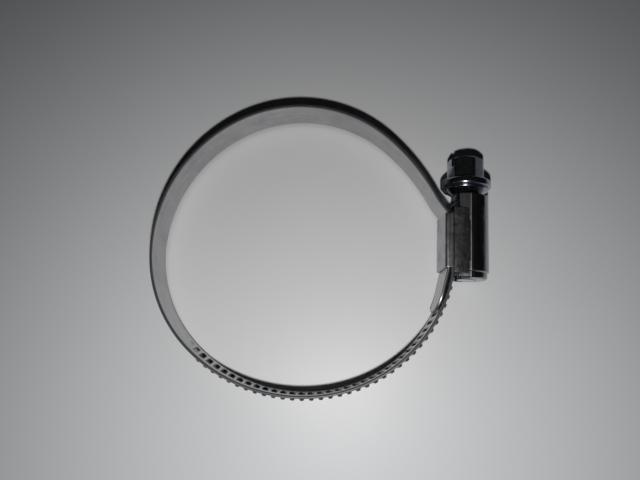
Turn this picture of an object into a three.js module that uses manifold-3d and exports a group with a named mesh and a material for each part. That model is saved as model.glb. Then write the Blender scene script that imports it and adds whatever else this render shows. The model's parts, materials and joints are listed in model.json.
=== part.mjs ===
// Worm-drive hose clamp: a steel band bent into a ring, a pressed housing that grips both band ends,
// and a hex-head worm screw whose thread draws the toothed band end through the housing.
// Units are millimetres. +Z is the ring's axis, +Y runs along the screw towards its head, and +X points
// from the ring's centre to the housing. The band is one strip; it is cut here into short rigid links,
// so that the ring can close and open about vertical hinges.
import * as THREE from 'three';
import { mergeVertices } from 'three/addons/utils/BufferGeometryUtils.js';
import Module from 'manifold-3d';

const wasm = await Module();
wasm.setup();

// ---- Driving dimensions -------------------------------------------------------------------------

// Band strip
const BAND_WIDTH = 9;
const BAND_THICKNESS = 0.65;
const MID_Z = BAND_WIDTH / 2;
const LINK_GAP = 0.2;

// Band layers where they lie in the housing (X of each layer's mid surface)
const PLAIN_LAYER_X = 31.125;
const TOOTHED_LAYER_X = 31.925;

// Plain band end: tongue below the housing, sharp bend above it
const TONGUE_HINGE_Y = -3.3;
const NECK_START_Y = 8.0;
const NECK_BEND = { radius: 1.3, sweep: 38 };
const NECK_RETURN = { radius: 12, sweep: -9 };
const TONGUE_BEND = { radius: 1.5, sweep: -12.6 };
const TONGUE_LENGTH = 4.2;
const TONGUE_TIP = { radius: 22, sweep: -12.5 };

// Ring: arcs from the neck round to the housing's lower mouth. The last radius closes the ring.
const RING_ARCS = [
  { radius: 46, sweep: 20 },
  { radius: 29.35, sweep: 71 },
  { radius: 32.75, sweep: 56.5 },
  { radius: 28.9, sweep: 52 },
  { radius: 34, sweep: 51 },
];
const LOWER_BEND = { radius: 2, sweep: 10 };
const LOWER_BEND_END_Y = -4.3;

// Band thread: pressed teeth that stand out of the outer face
const PITCH = 1.92;
const TOOTH_COUNT = 43;
const TOOTH_RISE = [0.3, 0.55, 0.8];
const TOOTH_HEIGHT = 0.6;
const TOOTH_POCKET = 0.45;
const TOOTH_BASE_HALF = 0.55;
const TOOTH_TOP_HALF = 0.25;
const TOOTH_EDGE_Z = 1.5;
const TOOTH_END_RAMP = 0.4;
const TOOTH_IN_HOUSING_Y = 0.33;
const FREE_TIP_Y = 5.2;

// Worm screw
const SCREW_X = 35.5;
const SCREW_SIDES = 24;
const WORM_RADIUS = 3.15;
const WORM_ROOT_RADIUS = 2.53;
const GROOVE_FLAT = 0.35;
const CREST_FLAT = 0.25;
const WORM_START_Y = -4.15;
const WORM_END_Y = 12.0;
const JOURNAL_RADIUS = 1.9;
const SCREW_TIP_Y = -5.2;
const NECK_RADIUS = 3.0;
const CONE_START_Y = 13.25;
const CONE_END_Y = 14.35;
const CONE_RADIUS = 4.5;
const COLLAR_RADIUS = 5.4;
const COLLAR_START_Y = 14.55;
const COLLAR_END_Y = 16.55;
const HEX_ACROSS_FLATS = 7;
const HEX_CORNER_RADIUS = 3.9;
const HEX_END_Y = 21.6;
const HEX_TURN = 78.3;
const SLOT_TURN = 122;
const SLOT_WIDTH = 1.2;
const SLOT_DEPTH = 2.0;

// Housing
const SADDLE = { start: -3.2, end: 8.3 };
const BARREL = { start: -5.1, end: 13.0 };
const BASE_INNER_X = 30.2;
const BASE_THICKNESS = 0.55;
const CHANNEL_HALF = 4.6;
const SADDLE_HALF = 5.25;
const CHANNEL_TOP_X = 32.45;
const BARREL_INNER_RADIUS = 3.6;
const BARREL_OUTER_RADIUS = 4.8;
const BARREL_MOUTH_X = 33.4;
const BARREL_NECK_HALF = 3.0;
const SADDLE_CORNER = 0.8;
const END_LIP = 0.6;
const END_LIP_HOLE = 2.2;

// Where the links of the ring meet: degrees round the ring's axis, counter-clockwise from +X
const LINK_ANGLES = [60, 105, 150, 195, 240, 285];
const LAST_LINK_TEETH = 3;

const degrees = THREE.MathUtils.degToRad;

// ---- Solids ---------------------------------------------------------------------------------------

function toSolid(geometry) {
  const bare = geometry.index ? geometry.clone() : geometry;
  bare.deleteAttribute('normal');
  bare.deleteAttribute('uv');
  const merged = mergeVertices(bare, 1e-4);
  const mesh = new wasm.Mesh({
    numProp: 3,
    vertProperties: new Float32Array(merged.attributes.position.array),
    triVerts: new Uint32Array(merged.index.array),
  });
  return new wasm.Manifold(mesh);
}

function toGeometry(solid) {
  const mesh = solid.getMesh();
  const geometry = new THREE.BufferGeometry();
  geometry.setAttribute('position', new THREE.BufferAttribute(mesh.vertProperties, 3));
  geometry.setIndex(new THREE.BufferAttribute(mesh.triVerts, 1));
  geometry.computeVertexNormals();
  return geometry;
}

// Extrudes an outline drawn in (X, Z) along +Y from startY to endY
function extrudeAlongY(shape, startY, endY) {
  const geometry = new THREE.ExtrudeGeometry(shape, {
    depth: endY - startY,
    bevelEnabled: false,
    curveSegments: 8,
  });
  geometry.rotateX(Math.PI / 2);
  geometry.translate(0, endY, 0);
  return toSolid(geometry);
}

// Turns a profile of [radius, Y] points about the screw's axis
function turnAboutScrew(profile) {
  const outline = profile.map(([radius, y]) => new THREE.Vector2(radius, y));
  const geometry = new THREE.LatheGeometry(outline, SCREW_SIDES);
  geometry.translate(SCREW_X, 0, MID_Z);
  return toSolid(geometry);
}

// ---- Band centre line -----------------------------------------------------------------------------

// A path is a list of stretches, each a straight (turn 0) or an arc, with its start and its length
class Path {
  constructor(x, y, headingDegrees) {
    this.end = { x, y, heading: degrees(headingDegrees) };
    this.stretches = [];
    this.length = 0;
  }

  line(length) {
    return this.add(length, 0);
  }

  arc({ radius, sweep }) {
    return this.add(radius * Math.abs(degrees(sweep)), degrees(sweep));
  }

  add(length, turn) {
    const stretch = { start: this.length, length, turn, ...this.end };
    this.stretches.push(stretch);
    this.length += length;
    this.end = Path.along(stretch, length);
    return this;
  }

  static along({ x, y, heading, length, turn }, distance) {
    const turned = (turn * distance) / length;
    const chord = turn === 0 ? distance : (2 * length * Math.sin(turned / 2)) / turn;
    const direction = heading + turned / 2;
    return {
      x: x + chord * Math.cos(direction),
      y: y + chord * Math.sin(direction),
      heading: heading + turned,
    };
  }

  at(distance) {
    const stretch = this.stretches.findLast(({ start }) => start <= distance) ?? this.stretches[0];
    return Path.along(stretch, distance - stretch.start);
  }

  // Distances that follow the curve closely enough between two places on the path
  stations(from, to, longest = 2.2, sharpest = degrees(8)) {
    const places = [from];
    for (const { start, length, turn } of this.stretches) {
      const steps = Math.ceil(Math.max(length / longest, Math.abs(turn) / sharpest));
      for (let step = 0; step <= steps; step += 1) {
        const place = start + (length * step) / steps;
        const clear = place > places.at(-1) + 0.15 && place < to - 0.15;
        if (clear) places.push(place);
      }
    }
    return [...places, to];
  }
}

// Builds the ring for a given straight neck and last arc radius
function drawRing(neckLength, lastRadius) {
  const path = new Path(PLAIN_LAYER_X, NECK_START_Y, 90)
    .arc(NECK_BEND)
    .line(neckLength)
    .arc(NECK_RETURN);
  RING_ARCS.forEach((arc) => path.arc(arc));
  const turned = NECK_BEND.sweep + NECK_RETURN.sweep + LOWER_BEND.sweep
    + RING_ARCS.reduce((sum, { sweep }) => sum + sweep, 0);
  return path.arc({ radius: lastRadius, sweep: 360 - turned }).arc(LOWER_BEND);
}

// The neck's length and the last arc's radius are those that bring the ring's end to the lower mouth.
// The end moves in proportion to each of them, so two trial steps give the exact answer.
function closeRing() {
  const trial = { neck: 1, radius: 30 };
  const base = drawRing(trial.neck, trial.radius).end;
  const byNeck = drawRing(trial.neck + 1, trial.radius).end;
  const byRadius = drawRing(trial.neck, trial.radius + 1).end;
  const [ax, ay] = [byNeck.x - base.x, byNeck.y - base.y];
  const [bx, by] = [byRadius.x - base.x, byRadius.y - base.y];
  const [tx, ty] = [TOOTHED_LAYER_X - base.x, LOWER_BEND_END_Y - base.y];
  const determinant = ax * by - ay * bx;
  const neck = trial.neck + (tx * by - ty * bx) / determinant;
  const radius = trial.radius + (ax * ty - ay * tx) / determinant;
  return drawRing(neck, radius);
}

const ring = closeRing();
const mouth = ring.length;
ring.line(FREE_TIP_Y - LOWER_BEND_END_Y);

// Distance along the ring of the tooth with the given number; number 0 is the tooth in the housing
const toothAt = (number) => mouth + TOOTH_IN_HOUSING_Y - LOWER_BEND_END_Y - number * PITCH;
const lastTooth = -Math.floor((ring.length - toothAt(0)) / PITCH - 0.4);
const firstTooth = lastTooth + TOOTH_COUNT - 1;
const gapNear = (distance) => {
  const number = Math.round((toothAt(0) - distance) / PITCH - 0.5) + 0.5;
  return toothAt(number);
};

// Distance along the ring that lies at an angle round the ring's axis
function ringAtAngle(angle) {
  const wanted = degrees(angle);
  let low = ring.stretches[2].start;
  let high = mouth;
  while (high - low > 1e-6) {
    const middle = (low + high) / 2;
    const { x, y } = ring.at(middle);
    const here = (Math.atan2(y, x) + 2 * Math.PI) % (2 * Math.PI);
    if (here < wanted) low = middle;
    else high = middle;
  }
  return low;
}

// ---- Band solids ----------------------------------------------------------------------------------

const toothSlant = PITCH / (Math.PI * (WORM_RADIUS + WORM_ROOT_RADIUS));
const PLAIN_ROWS = [
  { z: 0, raise: 0 },
  { z: BAND_WIDTH, raise: 0 },
];
const TOOTHED_ROWS = [
  { z: 0, raise: 0 },
  { z: TOOTH_EDGE_Z, raise: 0 },
  { z: TOOTH_EDGE_Z + TOOTH_END_RAMP, raise: 1 },
  { z: BAND_WIDTH - TOOTH_EDGE_Z - TOOTH_END_RAMP, raise: 1 },
  { z: BAND_WIDTH - TOOTH_EDGE_Z, raise: 0 },
  { z: BAND_WIDTH, raise: 0 },
];

// Adds the four places that shape each tooth between two distances
function addTeeth(places, from, to) {
  for (let number = firstTooth; number >= lastTooth; number -= 1) {
    const centre = toothAt(number);
    if (centre < from || centre > to) continue;
    const raise = TOOTH_RISE[firstTooth - number] ?? 1;
    places.push({ place: centre - TOOTH_BASE_HALF, raise: 0, slanted: true });
    places.push({ place: centre - TOOTH_TOP_HALF, raise, slanted: true });
    places.push({ place: centre + TOOTH_TOP_HALF, raise, slanted: true });
    places.push({ place: centre + TOOTH_BASE_HALF, raise: 0, slanted: true });
  }
}

// One strip of band along a path: a grid of outer and inner points, closed along its edges and ends
function stripGeometry(path, places, rows) {
  const points = [];
  const indices = [];
  for (const side of [1, -1]) {
    for (const { place, raise, slanted } of places) {
      for (const row of rows) {
        const inside = row !== rows[0] && row !== rows.at(-1);
        const shift = slanted && inside ? toothSlant * (row.z - MID_Z) : 0;
        const { x, y, heading } = path.at(place + shift);
        const lift = raise * row.raise * (side > 0 ? TOOTH_HEIGHT : TOOTH_POCKET);
        const out = (side * BAND_THICKNESS) / 2 + lift;
        points.push(x + out * Math.sin(heading), y - out * Math.cos(heading), row.z);
      }
    }
  }
  const columns = places.length;
  const vertex = (side, column, row) => (side * columns + column) * rows.length + row;
  const quad = (a, b, c, d) => indices.push(a, b, c, a, c, d);
  const top = rows.length - 1;
  const last = columns - 1;
  for (let here = 0; here < last; here += 1) {
    const next = here + 1;
    for (let low = 0; low < top; low += 1) {
      const high = low + 1;
      quad(vertex(0, here, low), vertex(0, next, low), vertex(0, next, high), vertex(0, here, high));
      quad(vertex(1, here, low), vertex(1, here, high), vertex(1, next, high), vertex(1, next, low));
    }
    quad(vertex(0, here, 0), vertex(1, here, 0), vertex(1, next, 0), vertex(0, next, 0));
    quad(vertex(0, here, top), vertex(0, next, top), vertex(1, next, top), vertex(1, here, top));
  }
  for (let low = 0; low < top; low += 1) {
    const high = low + 1;
    quad(vertex(0, 0, low), vertex(0, 0, high), vertex(1, 0, high), vertex(1, 0, low));
    quad(vertex(0, last, low), vertex(1, last, low), vertex(1, last, high), vertex(0, last, high));
  }
  const geometry = new THREE.BufferGeometry();
  geometry.setAttribute('position', new THREE.Float32BufferAttribute(points, 3));
  geometry.setIndex(indices);
  geometry.computeVertexNormals();
  return geometry;
}

const plainPlaces = (path, from, to) => path.stations(from, to)
  .map((place) => ({ place, raise: 0, slanted: false }));

function plainStrip(path, from, to) {
  return stripGeometry(path, plainPlaces(path, from, to), PLAIN_ROWS);
}

// A strip of ring that carries teeth from the thread's start onwards
function toothedStrip(from, to) {
  const threadStart = Math.max(from, toothAt(firstTooth) - PITCH / 2);
  const places = [{ place: from, raise: 0, slanted: false }];
  if (threadStart > from) places.push(...plainPlaces(ring, from, threadStart).slice(1));
  addTeeth(places, threadStart, to);
  places.push({ place: to, raise: 0, slanted: false });
  return stripGeometry(ring, places, TOOTHED_ROWS);
}

// The plain end: the straight layer in the housing and the start of the neck
function anchorGeometry() {
  const layer = NECK_START_Y - TONGUE_HINGE_Y - LINK_GAP / 2;
  const path = new Path(PLAIN_LAYER_X, TONGUE_HINGE_Y + LINK_GAP / 2, 90).line(layer);
  ring.stretches.slice(0, 2).forEach(({ length, turn }) => path.add(length, turn));
  return plainStrip(path, 0, path.length - LINK_GAP / 2);
}

// The plain end's tongue, which leaves the housing's mouth and lies inside the toothed band
function tongueGeometry() {
  const path = new Path(PLAIN_LAYER_X, TONGUE_HINGE_Y - LINK_GAP / 2, 270)
    .arc(TONGUE_BEND)
    .line(TONGUE_LENGTH)
    .arc(TONGUE_TIP);
  return plainStrip(path, 0, path.length);
}

// ---- Screw ----------------------------------------------------------------------------------------

// One turn of the thread as shares of the pitch: a groove, a rising face, a crest and a falling face
const threadFace = (1 - GROOVE_FLAT - CREST_FLAT) / 2;
const threadProfile = [
  { along: 0, radius: WORM_ROOT_RADIUS },
  { along: GROOVE_FLAT, radius: WORM_ROOT_RADIUS },
  { along: GROOVE_FLAT + threadFace, radius: WORM_RADIUS },
  { along: GROOVE_FLAT + threadFace + CREST_FLAT, radius: WORM_RADIUS },
];

// A right-handed thread whose faces follow the helix, longer than needed, with a fan over each end.
// The helix rises by three quarters of the pitch on the way round to the band, where a groove's
// middle meets the middle of the tooth in the housing.
function threadGeometry() {
  const spareTurns = 5;
  const turns = Math.ceil((WORM_END_Y - WORM_START_Y) / PITCH) + spareTurns;
  const steps = threadProfile.length;
  const turnsBelowTooth = Math.ceil((TOOTH_IN_HOUSING_Y - WORM_START_Y) / PITCH) + 2;
  const startY = TOOTH_IN_HOUSING_Y - PITCH * (GROOVE_FLAT / 2 + 0.75 + turnsBelowTooth);
  const rows = turns * steps;
  const points = [];
  for (let row = 0; row <= rows; row += 1) {
    const { along, radius } = threadProfile[row % steps];
    const rowY = startY + PITCH * (Math.floor(row / steps) + along);
    for (let side = 0; side < SCREW_SIDES; side += 1) {
      const angle = (2 * Math.PI * side) / SCREW_SIDES;
      points.push(
        SCREW_X + radius * Math.sin(angle),
        rowY + (PITCH * side) / SCREW_SIDES,
        MID_Z + radius * Math.cos(angle),
      );
    }
  }
  const seamRows = rows - steps;
  const indices = [];
  const vertex = (row, side) => (side < SCREW_SIDES ? row * SCREW_SIDES + side : (row + steps) * SCREW_SIDES);
  for (let row = 0; row < seamRows; row += 1) {
    for (let side = 0; side < SCREW_SIDES; side += 1) {
      const [a, b] = [vertex(row, side), vertex(row, side + 1)];
      const [c, d] = [vertex(row + 1, side + 1), vertex(row + 1, side)];
      indices.push(a, b, c, a, c, d);
    }
  }
  const fan = (centre, row, flip) => {
    const rim = [];
    for (let side = 0; side <= SCREW_SIDES; side += 1) rim.push(vertex(row, side));
    for (let step = steps - 1; step >= 0; step -= 1) rim.push(vertex(row + step, 0));
    rim.slice(0, -1).forEach((here, place) => {
      const next = rim[place + 1];
      indices.push(...(flip ? [centre, here, next] : [centre, next, here]));
    });
  };
  const count = points.length / 3;
  points.push(SCREW_X, startY + PITCH / 2, MID_Z);
  points.push(SCREW_X, startY + PITCH * (turns - 0.5), MID_Z);
  fan(count, 0, false);
  fan(count + 1, seamRows, true);
  const geometry = new THREE.BufferGeometry();
  geometry.setAttribute('position', new THREE.Float32BufferAttribute(points, 3));
  geometry.setIndex(indices);
  return geometry;
}

// Hexagon with its corners cut to a circle, turned about the screw's axis
function hexHead() {
  const corners = HEX_ACROSS_FLATS / Math.sqrt(3);
  const root = COLLAR_END_Y - 0.4;
  const blank = new THREE.CylinderGeometry(corners, corners, HEX_END_Y - root, 6);
  blank.rotateY(degrees(30 - HEX_TURN));
  blank.translate(SCREW_X, (HEX_END_Y + root) / 2, MID_Z);
  const corner = turnAboutScrew([
    [0, COLLAR_END_Y - 0.5],
    [HEX_CORNER_RADIUS, COLLAR_END_Y - 0.5],
    [HEX_CORNER_RADIUS, HEX_END_Y - 0.35],
    [HEX_CORNER_RADIUS - 0.5, HEX_END_Y],
    [0, HEX_END_Y],
  ]);
  return toSolid(blank).intersect(corner);
}

function screwGeometry() {
  const body = turnAboutScrew([
    [0, SCREW_TIP_Y],
    [JOURNAL_RADIUS - 0.4, SCREW_TIP_Y],
    [JOURNAL_RADIUS, SCREW_TIP_Y + 0.4],
    [JOURNAL_RADIUS, WORM_START_Y],
    [WORM_ROOT_RADIUS - 0.02, WORM_START_Y],
    [WORM_ROOT_RADIUS - 0.02, WORM_END_Y],
    [NECK_RADIUS, WORM_END_Y],
    [NECK_RADIUS, CONE_START_Y],
    [CONE_RADIUS, CONE_END_Y],
    [COLLAR_RADIUS - 0.3, COLLAR_START_Y],
    [COLLAR_RADIUS, COLLAR_START_Y + 0.4],
    [COLLAR_RADIUS, COLLAR_END_Y - 0.4],
    [COLLAR_RADIUS - 0.4, COLLAR_END_Y],
    [0, COLLAR_END_Y],
  ]);
  const trim = turnAboutScrew([
    [0, WORM_START_Y],
    [WORM_ROOT_RADIUS + 0.1, WORM_START_Y],
    [WORM_RADIUS + 0.5, WORM_START_Y + 0.6],
    [WORM_RADIUS + 0.5, WORM_END_Y - 0.1],
    [0, WORM_END_Y - 0.1],
  ]);
  const thread = toSolid(threadGeometry()).intersect(trim);
  const slot = new THREE.BoxGeometry(2 * COLLAR_RADIUS, 2 * SLOT_DEPTH, SLOT_WIDTH);
  slot.rotateY(degrees(SLOT_TURN - 90));
  slot.translate(SCREW_X, HEX_END_Y, MID_Z);
  return toGeometry(body.add(thread).add(hexHead()).subtract(toSolid(slot)));
}

// ---- Housing --------------------------------------------------------------------------------------

// The saddle's outside: a flat base, rounded corners, and walls that run into the round barrel
function saddleShape() {
  const low = MID_Z - SADDLE_HALF;
  const high = MID_Z + SADDLE_HALF;
  const flank = SCREW_X - BARREL_OUTER_RADIUS * 0.35;
  const shape = new THREE.Shape();
  shape.moveTo(BASE_INNER_X, low + SADDLE_CORNER);
  shape.quadraticCurveTo(BASE_INNER_X, low, BASE_INNER_X + SADDLE_CORNER, low);
  shape.lineTo(CHANNEL_TOP_X, low);
  shape.quadraticCurveTo(flank, low, SCREW_X, MID_Z - BARREL_OUTER_RADIUS);
  shape.absarc(SCREW_X, MID_Z, BARREL_OUTER_RADIUS, -Math.PI / 2, Math.PI / 2, false);
  shape.quadraticCurveTo(flank, high, CHANNEL_TOP_X, high);
  shape.lineTo(BASE_INNER_X + SADDLE_CORNER, high);
  shape.quadraticCurveTo(BASE_INNER_X, high, BASE_INNER_X, high - SADDLE_CORNER);
  shape.closePath();
  return shape;
}

// The space for both band layers, open to the bore for the screw
function channelShape() {
  const neckAngle = Math.asin(BARREL_NECK_HALF / BARREL_INNER_RADIUS);
  const base = BASE_INNER_X + BASE_THICKNESS;
  const shape = new THREE.Shape();
  shape.moveTo(base, MID_Z - CHANNEL_HALF);
  shape.lineTo(CHANNEL_TOP_X, MID_Z - CHANNEL_HALF);
  shape.absarc(SCREW_X, MID_Z, BARREL_INNER_RADIUS, Math.PI + neckAngle, Math.PI - neckAngle, false);
  shape.lineTo(CHANNEL_TOP_X, MID_Z + CHANNEL_HALF);
  shape.lineTo(base, MID_Z + CHANNEL_HALF);
  shape.closePath();
  return shape;
}

// The barrel beyond the saddle: a C that is open towards the band
function barrelShape() {
  const reach = SCREW_X - BARREL_MOUTH_X;
  const outerAngle = Math.PI - Math.acos(reach / BARREL_OUTER_RADIUS);
  const innerAngle = Math.PI - Math.acos(reach / BARREL_INNER_RADIUS);
  const shape = new THREE.Shape();
  shape.absarc(SCREW_X, MID_Z, BARREL_OUTER_RADIUS, -outerAngle, outerAngle, false);
  shape.absarc(SCREW_X, MID_Z, BARREL_INNER_RADIUS, innerAngle, -innerAngle, true);
  shape.closePath();
  return shape;
}

// The lower end of the barrel is turned in, and keeps the screw's end journal in place
function endLipShape() {
  const outerAngle = Math.PI - Math.acos((SCREW_X - BARREL_MOUTH_X) / BARREL_OUTER_RADIUS);
  const shape = new THREE.Shape();
  shape.absarc(SCREW_X, MID_Z, BARREL_OUTER_RADIUS, -outerAngle, outerAngle, false);
  shape.closePath();
  return shape;
}

function housingGeometry() {
  const saddle = extrudeAlongY(saddleShape(), SADDLE.start, SADDLE.end)
    .subtract(extrudeAlongY(channelShape(), SADDLE.start - 1, SADDLE.end + 1));
  const barrel = extrudeAlongY(barrelShape(), BARREL.start, BARREL.end);
  const hole = turnAboutScrew([
    [0, BARREL.start - 1],
    [END_LIP_HOLE, BARREL.start - 1],
    [END_LIP_HOLE, BARREL.start + 1],
    [0, BARREL.start + 1],
  ]);
  const lip = extrudeAlongY(endLipShape(), BARREL.start, BARREL.start + END_LIP).subtract(hole);
  return toGeometry(saddle.add(barrel).add(lip));
}

// ---- Assembly -------------------------------------------------------------------------------------

const bandSteel = new THREE.MeshStandardMaterial({ color: 0xa3a5a9, roughness: 0.35, metalness: 1 });
const housingSteel = new THREE.MeshStandardMaterial({ color: 0x8e9093, roughness: 0.4, metalness: 1 });
const screwZinc = new THREE.MeshStandardMaterial({ color: 0x8b96a3, roughness: 0.3, metalness: 1 });

const hose_clamp = new THREE.Group();

function addPart(name, geometry, material) {
  const mesh = new THREE.Mesh(geometry, material);
  mesh.name = name;
  hose_clamp.add(mesh);
}

// Hinge places along the ring: the neck, the ring's links, one short link below the mouth, the mouth
const neckHinge = ring.stretches[2].start;
const threadHinge = (distance) => (distance > toothAt(firstTooth) ? gapNear(distance) : distance);
const mouthHinge = gapNear(mouth);
const hingePlaces = [
  neckHinge,
  ...LINK_ANGLES.map((angle) => threadHinge(ringAtAngle(angle))),
  mouthHinge - LAST_LINK_TEETH * PITCH,
  mouthHinge,
];

addPart('housing_shell', housingGeometry(), housingSteel);
addPart('worm_screw', screwGeometry(), screwZinc);
addPart('band_tongue', tongueGeometry(), bandSteel);
addPart('band_anchor', anchorGeometry(), bandSteel);
hingePlaces.slice(0, -1).forEach((place, number) => {
  const from = place + LINK_GAP / 2;
  const to = hingePlaces[number + 1] - LINK_GAP / 2;
  const plain = to < toothAt(firstTooth) - PITCH / 2;
  const geometry = plain ? plainStrip(ring, from, to) : toothedStrip(from, to);
  addPart(`band_link_0${number + 1}`, geometry, bandSteel);
});
addPart('band_free_end', toothedStrip(mouthHinge + LINK_GAP / 2, ring.length), bandSteel);

// The origin is the middle of the clamp's bounding box, at its lowest level
const bounds = new THREE.Box3().setFromObject(hose_clamp);
const middle = bounds.getCenter(new THREE.Vector3());
hose_clamp.position.set(-middle.x, -middle.y, -bounds.min.z);
hose_clamp.userData.hinges = hingePlaces.map((place) => {
  const { x, y } = ring.at(place);
  return [x - middle.x, y - middle.y];
});

export default hose_clamp;
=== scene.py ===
"""Visual model of the worm-drive hose clamp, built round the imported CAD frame."""
import json
import math

import bmesh
import bpy
import numpy as np
from mathutils import Matrix, Vector


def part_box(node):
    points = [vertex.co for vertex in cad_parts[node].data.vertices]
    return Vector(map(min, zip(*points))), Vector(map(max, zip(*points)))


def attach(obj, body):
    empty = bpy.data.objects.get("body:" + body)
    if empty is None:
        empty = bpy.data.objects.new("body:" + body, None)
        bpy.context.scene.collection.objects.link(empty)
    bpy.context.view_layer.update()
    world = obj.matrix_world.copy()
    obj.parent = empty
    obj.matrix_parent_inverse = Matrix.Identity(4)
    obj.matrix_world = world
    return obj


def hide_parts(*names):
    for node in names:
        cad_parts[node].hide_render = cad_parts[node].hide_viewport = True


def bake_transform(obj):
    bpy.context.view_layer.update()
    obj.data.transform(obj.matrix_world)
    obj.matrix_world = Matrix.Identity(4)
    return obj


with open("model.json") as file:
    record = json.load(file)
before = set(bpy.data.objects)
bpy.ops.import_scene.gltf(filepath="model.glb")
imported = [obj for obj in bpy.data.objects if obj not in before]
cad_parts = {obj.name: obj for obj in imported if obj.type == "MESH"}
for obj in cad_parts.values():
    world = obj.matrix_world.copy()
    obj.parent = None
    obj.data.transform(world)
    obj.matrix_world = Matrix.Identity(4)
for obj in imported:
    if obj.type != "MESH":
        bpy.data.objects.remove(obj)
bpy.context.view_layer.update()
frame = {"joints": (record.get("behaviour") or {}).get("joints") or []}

# ---- Sizes, in millimetres; the ring's axis is x = y = 0 and the band's lower edge is z = 0 --------

MM = 0.001

# Band strip
BAND_WIDTH = 9.0
BAND_THICKNESS = 0.65
MID_Z = BAND_WIDTH / 2
EDGE_ROUND = 0.3
EDGE_ROWS_Z = (0.45, 0.9)
MIDDLE_ROWS_Z = (2.5, 3.5)

# Band centre line; bends are (radius, sweep in degrees)
PLAIN_LAYER_X = 31.125
TOOTHED_LAYER_X = 31.925
NECK_START_Y = 8.0
NECK_BEND = (1.3, 38)
NECK_RETURN = (12, -9)
RING_ARCS = ((46, 20), (29.35, 71), (32.75, 56.5), (28.9, 52), (34, 51))
LOWER_BEND = (2, 10)
LOWER_BEND_END_Y = -4.3
FREE_TIP_Y = 5.2
LAYER_START_Y = -1.0
TONGUE_START_Y = -3.3
TONGUE_BEND = (1.5, -12.6)
TONGUE_LENGTH = 4.2
TONGUE_TIP = (22, -12.5)
TONGUE_ROUNDING = 4.6
TONGUE_TIP_SHARE = 0.42
TONGUE_HINGE_REACH = 0.8
NECK_STRETCHES = 4
PLACE_SAMPLES = 8000

# Pressed teeth: lifted outside, sunk inside, and lower at the thread's first few
PITCH = 1.92
TOOTH_COUNT = 43
TOOTH_RISE = (0.12, 0.3, 0.65)
TOOTH_HEIGHT = 0.6
TOOTH_POCKET = 0.74
TOOTH_BASE_HALF = 0.68
TOOTH_TOP_HALF = 0.3
POCKET_BASE_HALF = 0.68
POCKET_TOP_HALF = 0.42
TOOTH_EDGE_Z = 1.7
TOOTH_END_RAMP = 0.5
TOOTH_IN_HOUSING_Y = 0.33
STEPS_PER_TOOTH = 16
END_MARGIN = 0.4
SHEAR_FADE = 0.9

# Screw, from its tip to its head
SCREW_X = 35.5
SCREW_SIDES = 120
SCREW_SHARP_ANGLE = 32
AXIS_GAP = 0.02
SCREW_TIP_Y = -5.2
TIP_FLAT_RADIUS = 1.2
JOURNAL_RADIUS = 1.9
JOURNAL_ROUND = 0.25
WORM_RADIUS = 3.15
WORM_ROOT_RADIUS = 2.53
WORM_START_Y = -4.15
WORM_END_Y = 12.0
WORM_STEP = 0.08
GROOVE_FLAT = 0.35
CREST_FLAT = 0.25
THREAD_RUN_IN = 0.9
NECK_RADIUS = 3.0
NECK_END_Y = 13.0
NECK_FILLET = 0.4
CONE_END_RADIUS = 4.45
CONE_END_Y = 14.35
LOWER_RIM_ROUND = 0.3
LOWER_RIM_CENTRE = (4.55, 14.65)
GROOVE_POINTS = ((4.6, 14.98), (4.72, 15.0))
COLLAR_RADIUS = 5.4
COLLAR_LOWER_ROUND = 0.45
COLLAR_LOWER_Y = 15.4
COLLAR_UPPER_ROUND = 0.5
COLLAR_END_Y = 16.55
COLLAR_FACE_POINTS = ((4.5, 16.55), (4.0, 16.5))
HEX_ACROSS_FLATS = 7.0
HEX_CORNER_RADIUS = 3.9
HEX_CORNER_SOFTNESS = 0.06
HEX_TURN = 78.3
HEX_START_Y = 16.45
HEX_CROWN_Y = 21.0
HEX_CROWN_HEIGHT = 0.6
HEX_CROWN_INSET = 0.95
HEX_ROWS_Y = (HEX_START_Y, 16.6, 17.0, 18.0, 19.0, 20.0, 20.8, HEX_CROWN_Y)
HEX_FACE_RADIUS = 2.0
SLOT_TURN = 122.0
SLOT_WIDTH = 1.2
SLOT_DEPTH = 2.0
SLOT_LENGTH = 12
HEX_END_Y = 21.6

# Housing: saddle, barrel, lip and flank plates
SADDLE_START_Y = -3.2
SADDLE_END_Y = 8.3
BARREL_START_Y = -5.1
BARREL_END_Y = 13.0
BASE_INNER_X = 30.2
BASE_THICKNESS = 0.55
CHANNEL_HALF = 4.6
SADDLE_HALF = 5.25
SADDLE_CORNER = 0.8
CHANNEL_TOP_X = 32.45
WALL_TOP_X = 32
WALL_CURVE_SHARE = 0.35
BARREL_INNER_RADIUS = 3.6
BARREL_OUTER_RADIUS = 4.8
BARREL_MOUTH_X = 33.4
BARREL_NECK_HALF = 3.0
ROUND_STEPS = 80
SLEEVE_STEPS = 110
LIP_THICKNESS = 0.6
LIP_HOLE_RADIUS = 2.2
LIP_BEVEL = 0.15
LIP_HOLE_ROUND = 0.2
LIP_INNER_BEVEL = 0.25
LIP_STEP = 0.35
LIP_STEP_Y = -3.75
LIP_CURL_ROUND = 0.6
SLEEVE_ROUND = 0.3
SLEEVE_ROW_Y = 10
FLANGE_EDGE_X = 32.0
WING_START_X = 32.1
SEAM_X = 35.65
SEAM_END_X = 35.12
SEAM_JOGS_Y = (-1.7, 7.0)
SEAM_JOG_HALF = 0.12
WING_START_Y = -4.2
WING_END_Y = 9.6
WING_THICKNESS = 0.45
WING_RISE = 0.07
WING_SINK = 0.05
WING_ROUND = 0.12
WING_STEP = 0.08
WING_COLUMNS = 46
WING_HIGHEST_Z = 9.85
WEAR_FINE = 0.012
WEAR_BROAD = 0.03
SHEET_STEP = 0.1
SHEET_ROUND = 0.14
FOLD_DEPTH = 0.34
FOLD_HALF = 0.1
COVERED_DEPTH = 0.12
COVERED_END_X = 35.3
STAKE_DENTS = ((6.6, 2.6), (-0.3, 3.3))
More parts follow.
